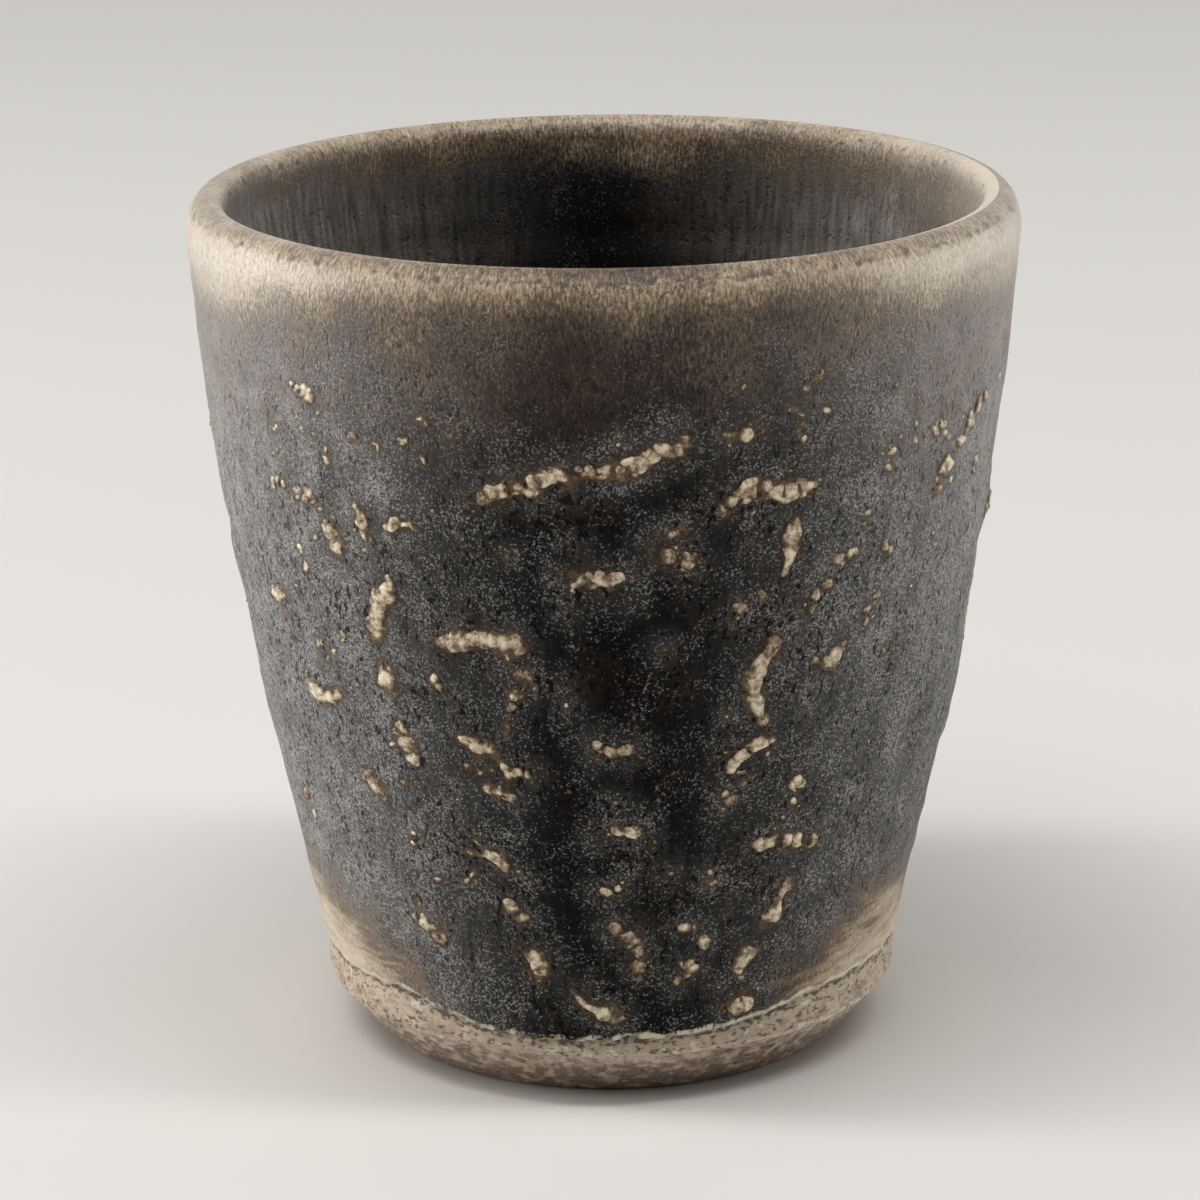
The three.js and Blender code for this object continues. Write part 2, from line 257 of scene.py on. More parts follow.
def inside_line(form, depth):
    """Inside from the crest of the lip to the middle of the floor, at a depth under the glaze."""
    rim = GLAZE_HIGH.x
    crest = rim - form.lip_overhang
    lip = quadrant((crest, GLAZE_HIGH.z - form.inner_drop), form.lip_wall - form.lip_overhang - depth,
                   form.inner_drop - depth, 90, 180)
    wall = wall_line(form)
    climb = np.clip((wall[:, 1] - form.heel) / (wall[-1, 1] - form.heel), 0, 1)
    thickness = form.heel_wall + (form.lip_wall - form.heel_wall) * climb
    wall = offset(wall, (thickness - depth)[:, None])[wall[:, 1] >= form.heel][::-1]
    down = wall[-1] - wall[-2]
    down /= np.linalg.norm(down)
    bowl = bezier([
        wall[-1],
        wall[-1] + down * form.bowl_pull,
        (form.floor_flat + form.bowl_pull, form.floor - depth),
        (form.floor_flat, form.floor - depth),
    ], BOWL_POINTS)
    middle = [(0.0, form.floor - form.floor_dish - depth)]
    return np.concatenate([lip, wall[1:-1], bowl, middle])


def run_of(line):
    """Length along a line at each of its points."""
    return np.concatenate([[0.0], np.cumsum(np.linalg.norm(np.diff(line, axis=0), axis=1))])


def even(line, spacing):
    """A line with its points spread evenly along it."""
    run = run_of(line)
    places = np.linspace(0, run[-1], max(2, round(run[-1] / spacing) + 1))
    return np.stack([np.interp(places, run, line[:, k]) for k in (0, 1)], axis=1)


# Modelling helpers


def smooth(low, high, value):
    """Eases from 0 to 1 as a value goes from low to high."""
    share = np.clip((np.asarray(value, float) - low) / (high - low), 0, 1)
    return share * share * (3 - 2 * share)


def cloud(points, size, seed=0.0):
    """Soft noise between about -1 and 1 whose lumps have a size."""
    shift = Vector((seed * 7.3, seed * 3.1, seed * 5.7))
    return np.array([noise.noise(Vector(p) / size + shift) for p in points.tolist()])


def cells(points, size):
    """Distance to the nearest of scattered cell centres, as a share of the cell size."""
    return np.array([noise.voronoi(Vector(p) / size)[0][0] for p in points.tolist()])


def read(mesh, kind):
    """Vertex places or normals as an array."""
    values = np.empty(len(mesh.vertices) * 3, np.float32)
    mesh.vertices.foreach_get(kind, values)
    return values.reshape(-1, 3).astype(float)


def write(mesh, places):
    """Moves a mesh's vertices."""
    mesh.vertices.foreach_set("co", places.astype(np.float32).ravel())
    mesh.update()


def mark(mesh, name, values, kind="FLOAT"):
    """Stores values on the vertices for a material to read."""
    layer = mesh.attributes.get(name) or mesh.attributes.new(name, kind, "POINT")
    field = "value" if kind == "FLOAT" else "vector"
    layer.data.foreach_set(field, np.asarray(values, np.float32).ravel())


def degrees_of(places):
    """Degrees to the right of the front."""
    return np.degrees(np.arctan2(places[:, 0], -places[:, 1]))


def turned(name, section, columns):
    """Turns a closed section about +Z. Each vertex keeps the number of its section point."""
    bpy.ops.object.select_all(action="DESELECT")
    bpy.ops.mesh.primitive_circle_add(vertices=len(section), fill_type="NOTHING")
    piece = bpy.context.object
    piece.name = piece.data.name = name
    write(piece.data, np.stack([np.zeros(len(section)), section[:, 0], section[:, 1]], axis=1))
    mark(piece.data, "place", np.arange(len(section)))
    lathe = piece.modifiers.new("Lathe", "SCREW")
    lathe.steps = columns
    lathe.render_steps = columns
    lathe.use_merge_vertices = True
    lathe.merge_threshold = MERGE
    bpy.ops.object.modifier_apply(modifier=lathe.name)
    bpy.ops.object.mode_set(mode="EDIT")
    bpy.ops.mesh.select_all(action="SELECT")
    bpy.ops.mesh.remove_doubles(threshold=MERGE)
    bpy.ops.mesh.delete_loose()
    bpy.ops.mesh.select_all(action="SELECT")
    bpy.ops.mesh.normals_make_consistent(inside=False)
    bpy.ops.object.mode_set(mode="OBJECT")
    place = np.empty(len(piece.data.vertices), np.float32)
    piece.data.attributes["place"].data.foreach_get("value", place)
    piece.data.attributes.remove(piece.data.attributes["place"])
    return piece, place.round().astype(int)


def finish_piece(piece, material, nodes, angle=40):
    """Smooth shading, material, body, slot and the nodes that a piece stands for."""
    bpy.ops.object.select_all(action="DESELECT")
    bpy.context.view_layer.objects.active = piece
    piece.select_set(True)
    bpy.ops.object.shade_smooth_by_angle(angle=math.radians(angle))
    piece.data.materials.clear()
    piece.data.materials.append(material)
    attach(piece, "root")
    if nodes:
        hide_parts(*nodes)


# The hand-made surface


def lift(places, form):
    """How far the hand-made wall stands out from the turned form, at places on it."""
    degrees = degrees_of(places)
    height = places[:, 2] / MM
    soft = cloud(places, 15 * MM, 1) + 0.7 * cloud(places, 6 * MM, 2)
    calm = smooth(8, 20, height) * (1 - smooth(74, 86, height))
    ledge = smooth(55, 75, degrees) * (1 - smooth(105, 125, degrees))
    ledge *= smooth(31.5, 33.5, height) * (1 - smooth(36, 46, height))
    leather = (0.3 + 0.9 * smooth(-0.1, 0.4, cloud(places, 12 * MM, 11))) * cloud(places, 3 * MM, 10)
    return form.swell * (calm * (soft + leather) + 1.6 * ledge)


def round_noise(degrees, level, waves):
    """Soft noise round the cup, on a level of its own."""
    ring = np.radians(degrees)
    return np.array([noise.noise(Vector((math.cos(a), math.sin(a), level)) * waves) for a in ring])


def rim_edge(degrees):
    """Height in millimetres where the pale lip gives way to the dark wall."""
    wander = round_noise(degrees, 0.4, 4)
    sides = smooth(20, 66, np.abs(degrees)) * (1 - 0.6 * smooth(95, 140, np.abs(degrees)))
    drip = np.exp(-((degrees - 3) / 5) ** 2)
    return 87.4 - 5 * sides - 3.5 * drip + 1.2 * wander


def glaze_edge(degrees):
    """Height in millimetres by which the lower edge of the glaze wanders above its line."""
    wander = round_noise(degrees, 2.4, 5)
    sides = smooth(14, 50, np.abs(degrees)) * (1 - 0.5 * smooth(70, 120, np.abs(degrees)))
    ripple = round_noise(degrees, 8.4, 16)
    return 0.1 + 2.2 * sides + 0.4 * wander + 0.3 * ripple


def wiped(degrees, height):
    """Share of the low wall that was wiped back to beige."""
    wander = round_noise(degrees, 5.4, 2)
    sides = smooth(16, 62, np.abs(degrees) + 8 * wander) * (1 - 0.4 * smooth(100, 150, np.abs(degrees)))
    top = 9 + 9 * sides
    full = 0.75 * sides ** 0.6 * (1 - smooth(5, top + 9, height))
    return full + 0.35 * sides * (1 - smooth(14, 34, height))


# Materials


def add(tree, kind, inputs=None, **settings):
    """Adds a node with its settings, and its inputs as values or as links from other sockets."""
    made = tree.nodes.new(kind)
    for key, value in settings.items():
        setattr(made, key, value)
    for key, value in (inputs or {}).items():
        if isinstance(value, bpy.types.NodeSocket):
            tree.links.new(value, made.inputs[key])
        else:
            made.inputs[key].default_value = value
    return made.outputs


def new_material(name):
    """An empty material with its shader."""
    material = bpy.data.materials.new(name)
    material.use_nodes = True
    return material, material.node_tree, material.node_tree.nodes["Principled BSDF"]


def per(size_mm):
    """Pattern scale that gives cells of a size."""
    return 1 / (size_mm * MM)


def rgba(value):
    """A colour with its alpha."""
    return (*value, 1.0)


def lay_colours(tree, shader, base, coats):
    """Lays coats of colour over a base, each by its own share, and gives the result to the shader."""
    under = rgba(base)
    for share, tint in coats:
        under = add(tree, "ShaderNodeMix", {0: share, 6: under, 7: rgba(tint)}, data_type="RGBA")[2]
    tree.links.new(under, shader.inputs["Base Color"])


def iron_glaze(name, colours, bloom_tint, glints):
    """Iron-rich stoneware glaze, dipped and fired to a satin matt."""
    # Charcoal with fine crystals where it lies thick, brown round the slip, and beige grains drawn out
    # downwards where it ran off the lip, or round the cup where it was wiped above the foot. A grey bloom,
    # partly painted light, lightens the sides and the liner's right, with more crystals there
    material, tree, shader = new_material(name)
    flow = add(tree, "ShaderNodeAttribute", attribute_name="flow")["Vector"]
    spot = add(tree, "ShaderNodeTexCoord")["Object"]
    fur, wipe, halo, edge, bloom_and_painted_light, brown, crest = (
        add(tree, "ShaderNodeAttribute", attribute_name=key)["Fac"]
        for key in ("fur", "wipe", "halo", "edge", "bloom_and_painted_light", "brown", "crest"))

    # Crystals 0.17 mm across, coarser than the real ones so that they show, over a soft brown mottle
    crystal = add(tree, "ShaderNodeTexVoronoi", {"Vector": spot, "Scale": per(0.17)})["Color"]
    dust = add(tree, "ShaderNodeTexNoise", {"Vector": spot, "Scale": per(1.2), "Detail": 3.0})["Fac"]
    drift = add(tree, "ShaderNodeTexNoise", {"Vector": spot, "Scale": per(4), "Detail": 3.0})["Fac"]
    dusted = add(tree, "ShaderNodeMath", {0: drift, 1: 0.8, 2: crystal}, operation="MULTIPLY_ADD")["Value"]
    # More crystals where the bloom share is high, which is partly painted light at the sides
    dusted = add(tree, "ShaderNodeMath", {0: bloom_and_painted_light, 1: 0.33, 2: dusted}, operation="MULTIPLY_ADD")["Value"]
    sparkle = add(tree, "ShaderNodeMapRange", {0: dusted, 1: 1.16, 2: 1.54, 3: 0.0, 4: glints})["Result"]
    trail = add(tree, "ShaderNodeMapping", {"Vector": flow, "Scale": (1, 1, 0.15)})["Vector"]
    streak = add(tree, "ShaderNodeTexNoise", {"Vector": trail, "Scale": per(0.7), "Detail": 3.0})["Fac"]
    streak = add(tree, "ShaderNodeMapRange", {0: streak, 1: 0.3, 2: 0.7, 3: 0.35, 4: 1.0})["Result"]
    # Grey bloom in streaks, partly painted light: it lightens the sides and the liner's right, where the
    # lamps fall
    bloom = add(tree, "ShaderNodeMath", {0: bloom_and_painted_light, 1: streak}, operation="MULTIPLY")["Value"]
    mottle = add(tree, "ShaderNodeTexNoise", {"Vector": spot, "Scale": per(7), "Detail": 3.0})["Fac"]
    warmed = add(tree, "ShaderNodeMath", {0: brown, 1: 0.3, 2: mottle}, operation="MULTIPLY_ADD")["Value"]
    toasted = add(tree, "ShaderNodeMath", {0: brown, 1: streak}, operation="MULTIPLY")["Value"]
    browned = add(tree, "ShaderNodeMapRange", {0: warmed, 1: 0.50, 2: 0.80, 3: 0.0, 4: 0.6})["Result"]

    # Grains 0.25 mm wide that ran 0.7 mm down from the lip, and bands that were wiped round the foot
    ran = add(tree, "ShaderNodeMapping", {"Vector": flow, "Scale": (1, 1, 0.35)})["Vector"]
    grain = add(tree, "ShaderNodeTexNoise", {"Vector": ran, "Scale": per(0.25), "Detail": 3.0,
                                             "Roughness": 0.75})["Fac"]
    grain = add(tree, "ShaderNodeMapRange", {0: grain, 1: 0.30, 2: 0.70, 3: 0.0, 4: 1.0})["Result"]
    grain = add(tree, "ShaderNodeMath", {0: mottle, 1: 1.0, 2: grain}, operation="MULTIPLY_ADD")["Value"]
    wiping = add(tree, "ShaderNodeMapping", {"Vector": flow, "Scale": (0.22, 0.22, 1)})["Vector"]
    bands = add(tree, "ShaderNodeTexNoise", {"Vector": wiping, "Scale": per(2.4), "Detail": 5.0,
                                             "Roughness": 0.7})["Fac"]
    bands = add(tree, "ShaderNodeMapRange", {0: bands, 1: 0.3, 2: 0.7, 3: -0.4, 4: 0.75})["Result"]
    run_off = add(tree, "ShaderNodeMath", {0: fur, 1: 1.65, 2: grain}, operation="MULTIPLY_ADD")["Value"]
    bands = add(tree, "ShaderNodeMath", {0: grain, 1: 0.6, 2: bands}, operation="MULTIPLY_ADD")["Value"]
    rubbed = add(tree, "ShaderNodeMath", {0: wipe, 1: 2.2, 2: bands}, operation="MULTIPLY_ADD")["Value"]
    thin = add(tree, "ShaderNodeMath", {0: run_off, 1: rubbed}, operation="MAXIMUM")["Value"]
    breaking = add(tree, "ShaderNodeMapRange", {0: thin, 1: 1.35, 2: 2.05, 3: 0.0, 4: 1.0})["Result"]
    thinned = add(tree, "ShaderNodeMapRange", {0: thin, 1: 1.70, 2: 2.30, 3: 0.0, 4: 1.0})["Result"]
    broken = add(tree, "ShaderNodeMapRange", {0: thin, 1: 2.05, 2: 2.90, 3: 0.0, 4: 1.0})["Result"]

    # Brown and tan round the slip, and the pale rolled edge above the foot, broken every millimetre or so
    ring = add(tree, "ShaderNodeMath", {0: dust, 1: 0.8, 2: halo}, operation="MULTIPLY_ADD")["Value"]
    browning = add(tree, "ShaderNodeMapRange", {0: ring, 1: 0.65, 2: 1.2, 3: 0.0, 4: 0.75})["Result"]
    tanning = add(tree, "ShaderNodeMapRange", {0: ring, 1: 1.10, 2: 1.5, 3: 0.0, 4: 0.8})["Result"]
    rolled = add(tree, "ShaderNodeMath", {0: dust, 1: 1.6, 2: edge}, operation="MULTIPLY_ADD")["Value"]
    paling = add(tree, "ShaderNodeMapRange", {0: rolled, 1: 1.25, 2: 1.65, 3: 0.0, 4: 0.92})["Result"]

    # Brown dashes along the crest of the lip
    burnt = add(tree, "ShaderNodeMath", {0: dust, 1: 2.2, 2: crest}, operation="MULTIPLY_ADD")["Value"]
    burning = add(tree, "ShaderNodeMapRange", {0: burnt, 1: 1.95, 2: 2.35, 3: 0.0, 4: 0.85})["Result"]

    # Pinholes 0.6 mm apart, fainter where the glaze is thin on the lip and above the foot
    drawn = add(tree, "ShaderNodeMapping", {"Vector": flow, "Scale": (1, 1, 0.7)})["Vector"]
    pits = add(tree, "ShaderNodeTexNoise", {"Vector": drawn, "Scale": per(0.62), "Detail": 1.0})["Fac"]
    pocked = add(tree, "ShaderNodeMath", {0: mottle, 1: 0.3, 2: pits}, operation="MULTIPLY_ADD")["Value"]
    coat = add(tree, "ShaderNodeMath", {0: fur, 1: wipe}, operation="MAXIMUM")["Value"]
    depth = add(tree, "ShaderNodeMapRange", {0: coat, 1: 0.0, 2: 0.6, 3: 0.95 * glints,
                                             4: 0.15 * glints})["Result"]
    holes = add(tree, "ShaderNodeMapRange", {0: pocked, 1: 0.77, 2: 0.85, 3: 0.0, 4: depth})["Result"]

    lay_colours(tree, shader, colours.charcoal, (
        (browned, colours.umber), (toasted, colours.bark), (bloom, bloom_tint),
        (sparkle, colours.graphite), (breaking, colours.taupe), (thinned, colours.camel),
        (broken, colours.beige), (browning, colours.bark), (tanning, colours.tan),
        (paling, colours.pale), (burning, colours.bark), (holes, colours.charcoal)))
    tooth = add(tree, "ShaderNodeTexNoise", {"Vector": spot, "Scale": per(0.4), "Detail": 4.0,
                                             "Roughness": 0.7})["Fac"]
    relief = add(tree, "ShaderNodeMath", {0: holes, 1: -2.2, 2: tooth}, operation="MULTIPLY_ADD")["Value"]
    bump = add(tree, "ShaderNodeBump", {"Height": relief, "Strength": 0.9, "Distance": 0.15 * MM})["Normal"]
    tree.links.new(bump, shader.inputs["Normal"])
    rough = add(tree, "ShaderNodeMapRange", {0: fur, 3: 0.58, 4: 0.30})["Result"]
    tree.links.new(rough, shader.inputs["Roughness"])
    shader.inputs["IOR"].default_value = 1.5
    gloss = add(tree, "ShaderNodeMapRange", {0: fur, 3: 0.06, 4: 0.75})["Result"]
    tree.links.new(gloss, shader.inputs["Specular IOR Level"])
    sheen = add(tree, "ShaderNodeMapRange", {0: bloom_and_painted_light, 3: 0.0, 4: 0.36})["Result"]
    tree.links.new(sheen, shader.inputs["Sheen Weight"])
    shader.inputs["Sheen Roughness"].default_value = 0.45
    return material


def slip_clay(name, colours):
    """Pale slip, trailed on the wall and fired under a skin of glaze."""
    # Cream and grainy on its crests, then tan and brown down its sides, so that it melts into the dark wall
    material, tree, shader = new_material(name)
    spot = add(tree, "ShaderNodeTexCoord")["Object"]
    rise = add(tree, "ShaderNodeAttribute", attribute_name="rise")["Fac"]
    grit = add(tree, "ShaderNodeTexNoise", {"Vector": spot, "Scale": per(0.6), "Detail": 4.0,
                                            "Roughness": 0.7})["Fac"]
    grain = add(tree, "ShaderNodeMapRange", {0: grit, 1: 0.33, 2: 0.67, 3: 0.0, 4: 1.1})["Result"]
    patch = add(tree, "ShaderNodeTexNoise", {"Vector": spot, "Scale": per(1.8), "Detail": 1.0})["Fac"]
    patch = add(tree, "ShaderNodeMapRange", {0: patch, 1: 0.3, 2: 0.7, 3: 0.0, 4: 0.6})["Result"]
    worn = add(tree, "ShaderNodeMath", {0: rise, 1: 1.1, 2: grain}, operation="MULTIPLY_ADD")["Value"]
    worn = add(tree, "ShaderNodeMath", {0: worn, 1: patch}, operation="ADD")["Value"]
    browning = add(tree, "ShaderNodeMapRange", {0: worn, 1: 0.60, 2: 0.95, 3: 0.0, 4: 1.0})["Result"]
    tanning = add(tree, "ShaderNodeMapRange", {0: worn, 1: 0.90, 2: 1.35, 3: 0.0, 4: 1.0})["Result"]
    paling = add(tree, "ShaderNodeMapRange", {0: worn, 1: 1.30, 2: 2.15, 3: 0.0, 4: 1.0})["Result"]
    lay_colours(tree, shader, colours.charcoal,
                ((browning, colours.bark), (tanning, colours.tan), (paling, colours.cream)))
    bump = add(tree, "ShaderNodeBump", {"Height": grit, "Strength": 0.6, "Distance": 0.25 * MM})["Normal"]
    tree.links.new(bump, shader.inputs["Normal"])
    shader.inputs["Roughness"].default_value = 0.36
    shader.inputs["IOR"].default_value = 1.5
    return material


def bare_stoneware(name, colours):
    """Unglazed stoneware, turned on the wheel and fired."""
    # Dry and tan, mottled, with iron specks, pocked with pits below the glaze's edge, pale in patches there
    # and rubbed pale along the bevel's top. Darker towards the table as painted shade, with a painted shadow
    # line just under the glaze's edge
    material, tree, shader = new_material(name)
    spot = add(tree, "ShaderNodeTexCoord")["Object"]
    flow = add(tree, "ShaderNodeAttribute", attribute_name="flow")["Vector"]
    edge, band, low, glaze_edge_shadow = (add(tree, "ShaderNodeAttribute", attribute_name=key)["Fac"]
                              for key in ("edge", "band", "low", "glaze_edge_shadow"))
    mottle = add(tree, "ShaderNodeTexNoise", {"Vector": spot, "Scale": per(1.4), "Detail": 4.0})["Fac"]
    # Painted shade: more sienna towards the table, where the bevel faces down
    mottle_and_low_shade = add(tree, "ShaderNodeMath", {0: low, 1: 0.12, 2: mottle}, operation="MULTIPLY_ADD")["Value"]
    clouds_and_low_shade = add(tree, "ShaderNodeMapRange", {0: mottle_and_low_shade, 1: 0.42, 2: 0.64, 3: 0.0, 4: 0.85})["Result"]
    dried = add(tree, "ShaderNodeMath", {0: band, 1: 0.3}, operation="MULTIPLY")["Value"]
    rubbed = add(tree, "ShaderNodeMath", {0: mottle, 1: 4.5, 2: edge}, operation="MULTIPLY_ADD")["Value"]
    paling = add(tree, "ShaderNodeMapRange", {0: rubbed, 1: 2.9, 2: 3.7, 3: 0.0, 4: 0.85})["Result"]
    round_cup = add(tree, "ShaderNodeMapping", {"Vector": flow, "Scale": (0.4, 0.4, 1)})["Vector"]
    grit = add(tree, "ShaderNodeTexNoise", {"Vector": round_cup, "Scale": per(0.38), "Detail": 3.0})["Fac"]
    pits_and_edge_shadow = add(tree, "ShaderNodeMath", {0: band, 1: 0.04, 2: grit}, operation="MULTIPLY_ADD")["Value"]
    # Painted shadow: a row of dark specks along the line just under the glaze's edge
    pits_and_edge_shadow = add(tree, "ShaderNodeMath", {0: glaze_edge_shadow, 1: 0.14, 2: pits_and_edge_shadow}, operation="MULTIPLY_ADD")["Value"]
    specks = add(tree, "ShaderNodeMapRange", {0: pits_and_edge_shadow, 1: 0.57, 2: 0.70, 3: 0.0, 4: 0.8})["Result"]
    lay_colours(tree, shader, colours.clay, (
        (clouds_and_low_shade, colours.sienna), (dried, colours.biscuit), (paling, colours.pale),
        (specks, colours.iron)))
    bump = add(tree, "ShaderNodeBump", {"Height": grit, "Strength": 0.6, "Distance": -0.15 * MM})["Normal"]
    tree.links.new(bump, shader.inputs["Normal"])
    shader.inputs["Roughness"].default_value = 0.75
    shader.inputs["IOR"].default_value = 1.5
    return material


def matt_paper(name, colours):
    """Seamless studio paper: matt and even."""
    material, tree, shader = new_material(name)
    fibre = add(tree, "ShaderNodeTexNoise", {"Scale": per(40), "Detail": 2.0,
                                             "Vector": add(tree, "ShaderNodeTexCoord")["Object"]})["Fac"]
    shade = add(tree, "ShaderNodeMapRange", {0: fibre, 3: 0.0, 4: 0.03})["Result"]
    lay_colours(tree, shader, colours.stage, ((shade, colours.pale),))
    shader.inputs["Roughness"].default_value = 0.9
    return material


# Pieces


def skin_radius(form):
    """Radius of the outer skin at a height, as a function."""
    line = outside_line(form, 0.0)
    return lambda height: np.interp(height, line[:, 1], line[:, 0])


def outward(places):
    """Level directions away from the axis."""
    out = places * (1, 1, 0)
    return out / np.linalg.norm(out, axis=1)[:, None]


def tree_of(places):
    """Places in a tree, for finding the nearest of them."""
    tree = kdtree.KDTree(len(places))
    for i, place in enumerate(places):
        tree.insert(place, i)
    tree.balance()
    return tree


def rise_of(places, radius_at):
    """How far places stand above the turned form of the wall."""
    return np.linalg.norm(places[:, :2], axis=1) - radius_at(places[:, 2])


class CUP_OT_slip_strokes(Operator):
    """Model the slip strokes, each over its own node"""

    bl_idname = "cup.slip_strokes"
    bl_label = "Slip strokes"

    def execute(self, context):
        form = context.scene.cup_form
        material = slip_clay("cream_slip", context.scene.cup_colours)
        radius_at = skin_radius(form)
        for node in SLIP_NODES:
            piece = self.even_copy(context, node, form.slip_grain)
            self.roughen(piece.data, not node.endswith(WHOLE), form, radius_at)
            finish_piece(piece, material, [node], angle=180)
        return {"FINISHED"}

    def even_copy(self, context, node, voxel):
        """A copy of a stroke's node with an even, softened skin."""
        piece = frame["nodes"][node].copy()
        piece.data = piece.data.copy()
        piece.name = piece.data.name = node.removeprefix("slip_") + "_slip"
        context.collection.objects.link(piece)
        bpy.ops.object.select_all(action="DESELECT")
        context.view_layer.objects.active = piece
        piece.select_set(True)
        bpy.ops.object.mode_set(mode="EDIT")
        bpy.ops.mesh.select_all(action="SELECT")
        bpy.ops.mesh.remove_doubles(threshold=MERGE)
        bpy.ops.object.mode_set(mode="OBJECT")
        remesh = piece.modifiers.new("Even skin", "REMESH")
        remesh.mode = "VOXEL"
        remesh.voxel_size = voxel
        bpy.ops.object.modifier_apply(modifier=remesh.name)
        soften = piece.modifiers.new("Soft edges", "SMOOTH")
        soften.factor = 0.5
        soften.iterations = 9
        bpy.ops.object.modifier_apply(modifier=soften.name)
        return piece

    def roughen(self, mesh, pebbly, form, radius_at):
        """Breaks a stroke into beads that stand out of the glaze, with gaps where it is pebbly."""
        places = read(mesh, "co")
        out = outward(places)
        side = read(mesh, "normal")
        side -= out * (side * out).sum(axis=1)[:, None]
        rise = rise_of(places, radius_at)
        outline = tree_of(places[rise < 0.03 * MM])
        inset = np.array([outline.find(place)[2] for place in places])
        share = inset / inset.max()
        clumps = cloud(places, 2.6 * MM, 9)
        if pebbly:
            cover = np.minimum(2 * share, 1) + 1.5 * clumps + 1.5 - 3.2 * cells(places, 1.0 * MM)
        else:
            cover = 1.7 * share + 0.6 * clumps + 1.15 - 1.8 * cells(places, 0.9 * MM)
        raised = np.where(rise > 0, (0.5 * np.tanh(0.8 * np.maximum(cover, -0.4)) - 0.06) * MM, rise)
        spread = 0.3 + 0.8 * cloud(places, 1.8 * MM, 5)
        move = out * (raised - rise + lift(places, form))[:, None] + MM * spread[:, None] * side
        write(mesh, places + move)
        mark(mesh, "rise", np.clip(cover / 2.0, 0, 1))


class CUP_OT_slip_specks(Operator):
    """Scatter the small dabs and specks of slip over the wall"""

    bl_idname = "cup.slip_specks"
    bl_label = "Slip specks"

    def execute(self, context):
        form = context.scene.cup_form
        radius_at = skin_radius(form)
        spots = self.spots(np.random.default_rng(11))
        bpy.ops.object.select_all(action="DESELECT")
        bpy.ops.mesh.primitive_uv_sphere_add(segments=8, ring_count=5, radius=1)
        first = context.object
        mark(first.data, "rise", np.clip(-read(first.data, "co")[:, 2], 0, 1) ** 2)
        for degrees, height, size, turn in spots:
            speck = first.copy()
            speck.data = first.data.copy()
            context.collection.objects.link(speck)
            speck.data.transform(self.seat(degrees, height, size, turn, form, radius_at))
            speck.select_set(True)
        context.view_layer.objects.active = speck
        bpy.data.objects.remove(first)
        bpy.ops.object.join()
        piece = context.object
        piece.name = piece.data.name = "scattered_slip"
        mesh = piece.data
        places = read(mesh, "co")
        rise = np.empty(len(places), np.float32)
        mesh.attributes["rise"].data.foreach_get("value", rise)
        ragged = np.stack([cloud(places, 0.6 * MM, seed) for seed in (6, 7, 8)], axis=1)
        write(mesh, places + 0.16 * MM * ragged)
        mark(mesh, "rise", rise * (0.8 + 0.6 * cloud(places, 4 * MM, 12)))
        finish_piece(piece, bpy.data.materials["cream_slip"], [], angle=180)
        return {"FINISHED"}

    def spots(self, draw):
        """Places, sizes and turns of the specks: along each dab, round each stroke, and over the wall."""
        spots = []
        for (start, low), (end, high) in DABS:
            for share in draw.random(draw.integers(3, 7)):
                degrees = start + (end - start) * share + draw.normal(0, 0.6)
                height = glazed_height(low + (high - low) * share) + draw.normal(0, 0.4)
                spots.append((degrees, height, draw.uniform(0.4, 1.1), draw.uniform(0, MOST_TURN)))
        for degrees, percent in DOTS:
            for size in draw.uniform(0.35, 0.75, draw.integers(1, 4)):
                place = draw.normal((degrees, glazed_height(percent)), (0.7, 0.5))
                spots.append((*place, size, draw.uniform(0, MOST_TURN)))
        for node in SLIP_NODES:
            corners = read(frame["nodes"][node].data, "co")
            for corner in corners[draw.integers(0, len(corners), 6)]:
                degrees = degrees_of(corner[None])[0] + draw.normal(0, 2.5)
                height = corner[2] / MM + draw.normal(0, 1.6)
                spots.append((degrees, height, 0.22 + 0.3 * draw.random() ** 2, draw.uniform(0, MOST_TURN)))
        for _ in range(SCATTERED):
            height = draw.triangular(14, 62, 78)
            degrees = draw.uniform(-180, 180)
            size = 0.16 + 0.26 * draw.random() ** 3
            spots.append((degrees, height, size, draw.uniform(0, MOST_TURN)))
        return [spot for spot in spots if SPECK_LOW < spot[1] < SPECK_HIGH]

    def seat(self, degrees, height, size, turn, form, radius_at):
        """Puts a unit ball on the wall as a flat dome of a size in millimetres."""
        angle = math.radians(degrees)
        out = Vector((math.sin(angle), -math.cos(angle), 0))
        place = out * float(radius_at(height * MM)) + Vector((0, 0, height * MM))
        place += out * lift(np.array([place]), form)[0]
        along = Vector((math.cos(angle), math.sin(angle), 0))
        axes = Matrix((along, Vector((0, 0, 1)), -out)).transposed()
        shape = Matrix.Diagonal((size * MM, size * 0.7 * MM, size * 0.28 * MM))
        return Matrix.Translation(place) @ (axes @ Matrix.Rotation(turn, 3, "Z") @ shape).to_4x4()


def glazed_height(percent):
    """Height in millimetres at a percent of the glazed wall."""
    return (GLAZE_LOW.z + (GLAZE_HIGH.z - LIP_BAND - GLAZE_LOW.z) * percent / 100) / MM


